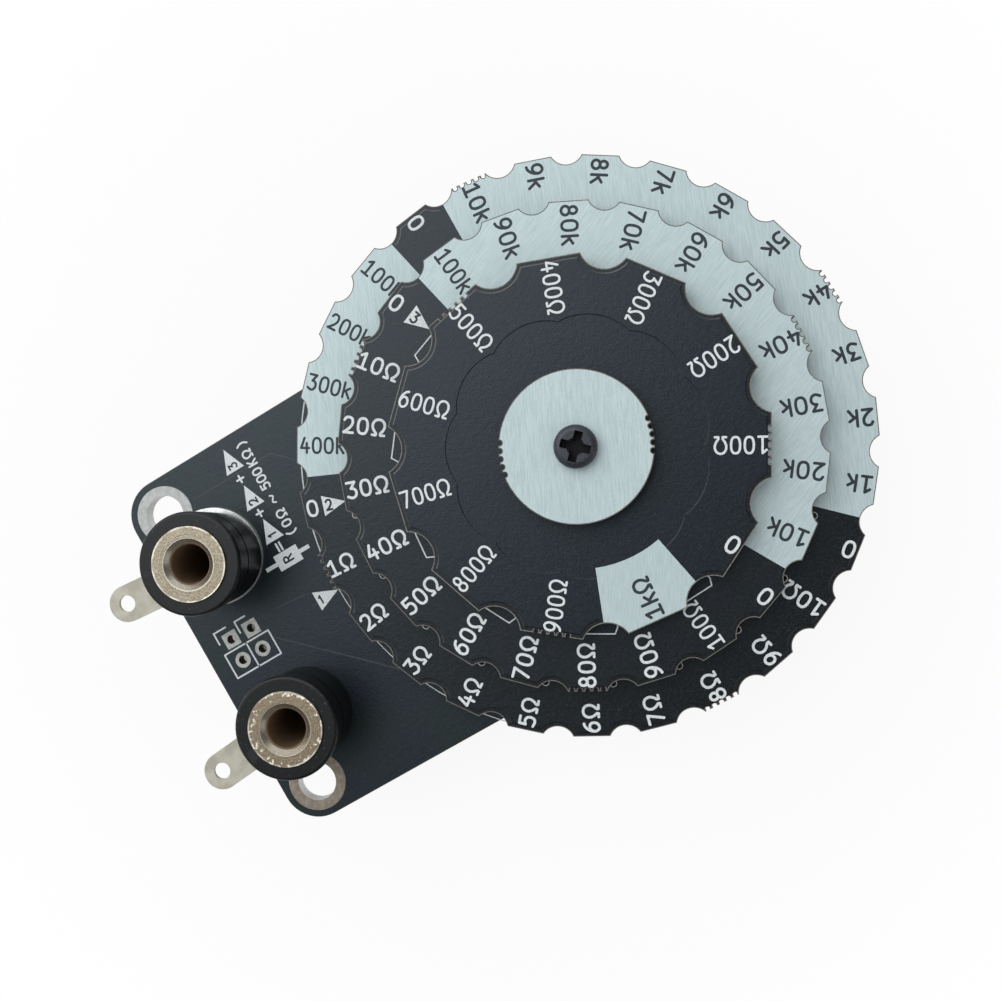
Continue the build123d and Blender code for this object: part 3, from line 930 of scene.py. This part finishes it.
def bronze_finish():
    finish = Finish("spring_bronze")
    hair = finish.grain(80.0, 2.0, 0.05)
    colour = finish.mix(hair.ramp(0.3, 0.7), paint(176, 128, 74), paint(206, 160, 104))
    return finish.surface(colour, 0.25 + hair * 0.15, 0.95, height=hair * 0.004)


dress(bronze_finish(), "disc_1_contact", "disc_2_contact", "disc_3_contact")


# Centre of the dials. A tinned round cap board under a blackened pan-head screw; inside are a
# brass sleeve, nylon spacers and a spring washer, and under the board a washer and a brass nut.

def screw_finish():
    finish = Finish("black_steel")
    radius = finish.from_axis(stack_x, 0)
    grit = finish.noise(0.12, 3.0)
    wear = finish.noise(0.6, 4.0)
    colour = finish.mix(grit.ramp(0.3, 0.7), paint(46, 48, 53), paint(68, 71, 78))
    colour = finish.mix(wear.ramp(0.62, 0.72) * 0.5, colour, paint(118, 122, 126))
    in_cross = (1 - finish.z.ramp(13.45, 13.6)) * (finish.z > 12.5)
    shaded_recess = in_cross * (1 - radius.ramp(1.5, 1.6))
    # painted shade: the cross recess of the head is darkened
    colour = finish.mix(shaded_recess * 0.9, colour, paint(16, 16, 19))
    height = grit * 0.012 + wear * 0.01
    return finish.surface(colour, 0.34 + grit * 0.2 + shaded_recess * 0.5, 0.5 - shaded_recess * 0.5, height=height)


black_steel = screw_finish()
dress(black_steel, "centre_screw")
thread("centre_screw_thread", stack_x, 0, radius=1.25, rise=0.08, high=-2.55, pitch=0.45, count=2,
       finish=black_steel)
dress(laminate, "cap_disc")
cap_r, cap_z, cap_gap = 7.3, 10.8, 0.09
cap_open = [circle(stack_x, 0, 1.35)] + bites(cap_r, 159.0, cap_gap) + bites(cap_r, 339.0, cap_gap)
cap = Film(filled(covered, board=[circle(stack_x, 0, cap_r - cap_gap)], open=cap_open))
cap_tin = brushed_finish("brushed_tin_cap", 64.0)
cap_top = cap_z + board_t
cap.make("cap_tin_top", cap_top - sunk, cap_top + pad_rise, cap_tin, "base", "tinned_board")
cap.make("cap_tin_under", cap_z - pad_rise, cap_z + sunk, cap_tin, "base", "tinned_board")
brass = bright_metal("brass_parts", paint(186, 154, 92), paint(212, 184, 122), 0.2, 1.2)
steel = bright_metal("steel_washers", paint(166, 168, 170), paint(204, 206, 208), 0.22, 1.4)
white_nylon = nylon_finish("white_nylon", paint(206, 204, 192), paint(226, 224, 214))
dress(brass, "centre_sleeve", "centre_nut")
dress(steel, "spring_washer", "centre_nut_washer")
dress(white_nylon, "spacer_lower", "spacer_middle", "spacer_upper")


# Studio. A plain pale floor that keeps a soft shadow, one large soft lamp, a weak fill from the
# other side and an even sky. The camera looks almost straight down, as in the photograph.

floor_mesh = bpy.data.meshes.new("floor")
floor_half, floor_z = 3, -0.01125
floor_corners = [(floor_half * x, floor_half * y, floor_z) for x, y in ((-1, -1), (1, -1), (1, 1), (-1, 1))]
floor_mesh.from_pydata(floor_corners, [], [(0, 1, 2, 3)])
floor = bpy.data.objects.new("floor", floor_mesh)
bpy.context.scene.collection.objects.link(floor)
pale = Finish("pale_floor")

# The floor shows white by itself, so its shade under the base and the dials is put in here. It is
# what one sees through the header holes. Far off, the floor is as white as the sky.
beside = pale.x - pale.x.work("MINIMUM", pale.x.work("MAXIMUM", pale.x, 2.0), stack_x)
past_base = ((beside ** 2 + pale.y ** 2) ** 0.5).ramp(6.5, 10.6)
past_dials = pale.from_axis(stack_x, 0).ramp(16.0, 31.0)
open_floor = past_base.work("MINIMUM", past_base, past_dials)
far_off = pale.from_axis(30.0, 0).ramp(44.0, 90.0)
floor_colour = pale.mix(open_floor, paint(156, 153, 146), paint(244, 244, 244))
matt = pale.node("ShaderNodeBsdfDiffuse", {}, {"Color": floor_colour})
glow = pale.node("ShaderNodeEmission", {}, {"Color": paint(255, 255, 255), "Strength": 1.0})
rays = [pale.node("ShaderNodeLightPath", {}, {}, kind) for kind in ("Is Camera Ray", "Is Glossy Ray")]
shown = rays[0].work("MAXIMUM", *rays) * open_floor * (0.9 + far_off * 0.1)
above = pale.node("ShaderNodeMixShader", {}, {0: shown, 1: matt, 2: glow})
below = pale.node("ShaderNodeBsdfTransparent", {}, {})
back = pale.node("ShaderNodeNewGeometry", {}, {}, "Backfacing")
both_sides = pale.node("ShaderNodeMixShader", {}, {0: back, 1: above, 2: below})
pale.node("ShaderNodeOutputMaterial", {}, {0: both_sides})
floor_mesh.materials.append(pale.material)

world = bpy.data.worlds.new("studio")
bpy.context.scene.world = world
world.use_nodes = True
world.node_tree.nodes.clear()


class Sky(Finish):
    """The world's own nodes, which have no place in millimetres."""

    def __init__(self, tree):
        self.tree = tree


sky = Sky(world.node_tree)
seen, mirrored, through = [sky.node("ShaderNodeLightPath", {}, {}, f"Is {kind} Ray")
                           for kind in ("Camera", "Glossy", "Transmission")]
white_sky = sky.node("ShaderNodeBackground", {}, {"Color": [1, 1, 1, 1], "Strength": 1.0})
soft_sky = sky.node("ShaderNodeBackground", {}, {"Color": [1, 1, 1, 1], "Strength": 0.48})
way = sky.node("ShaderNodeTexCoord", {}, {}, "Generated")
to_lamp = (-0.26, 0.97, 0)
lamp_side = sky.node("ShaderNodeVectorMath", {"operation": "DOT_PRODUCT"}, {0: way, 1: to_lamp}, "Value")
sheen = 0.1 + lamp_side.ramp(-0.32, 0.32) * 0.9
mirrored_sky = sky.node("ShaderNodeBackground", {}, {"Color": [0.94, 0.98, 1.04, 1], "Strength": sheen})
white_seen = seen.work("MAXIMUM", seen, through)
plain = sky.node("ShaderNodeMixShader", {}, {0: white_seen, 1: soft_sky, 2: white_sky})
whole = sky.node("ShaderNodeMixShader", {}, {0: mirrored, 1: plain, 2: mirrored_sky})
sky.node("ShaderNodeOutputWorld", {}, {0: whole})


def lamp(name, azimuth, height, distance, size, power):
    """A round soft lamp that is turned to the middle of the object, with its angles in degrees."""
    light = bpy.data.lights.new(name, "AREA")
    light.shape = "DISK"
    light.size = size
    light.energy = power
    made = bpy.data.objects.new(name, light)
    middle = Vector((0.03, 0, 0))
    azimuth, height = math.radians(azimuth), math.radians(height)
    flat = distance * math.cos(height)
    made.location = middle + Vector((flat * math.cos(azimuth), flat * math.sin(azimuth),
                                     distance * math.sin(height)))
    made.rotation_euler = (middle - made.location).to_track_quat("-Z", "Y").to_euler()
    bpy.context.scene.collection.objects.link(made)


lamp("key_lamp", azimuth=105, height=55, distance=0.6, size=0.65, power=2.1)
lamp("fill_lamp", azimuth=300, height=35, distance=0.7, size=0.6, power=0.4)

eye = bpy.data.cameras.new("camera")
eye.sensor_width = 36
eye.lens = 39.14
eye.clip_start = 0.005
camera = bpy.data.objects.new("camera", eye)
camera.location = (0.045113, -0.003728, 0.114280)
camera.rotation_euler = [math.radians(a) for a in (-1.848, 6.430, -30.363)]
bpy.context.scene.collection.objects.link(camera)
bpy.context.scene.camera = camera

bpy.context.scene.view_settings.view_transform = "Standard"
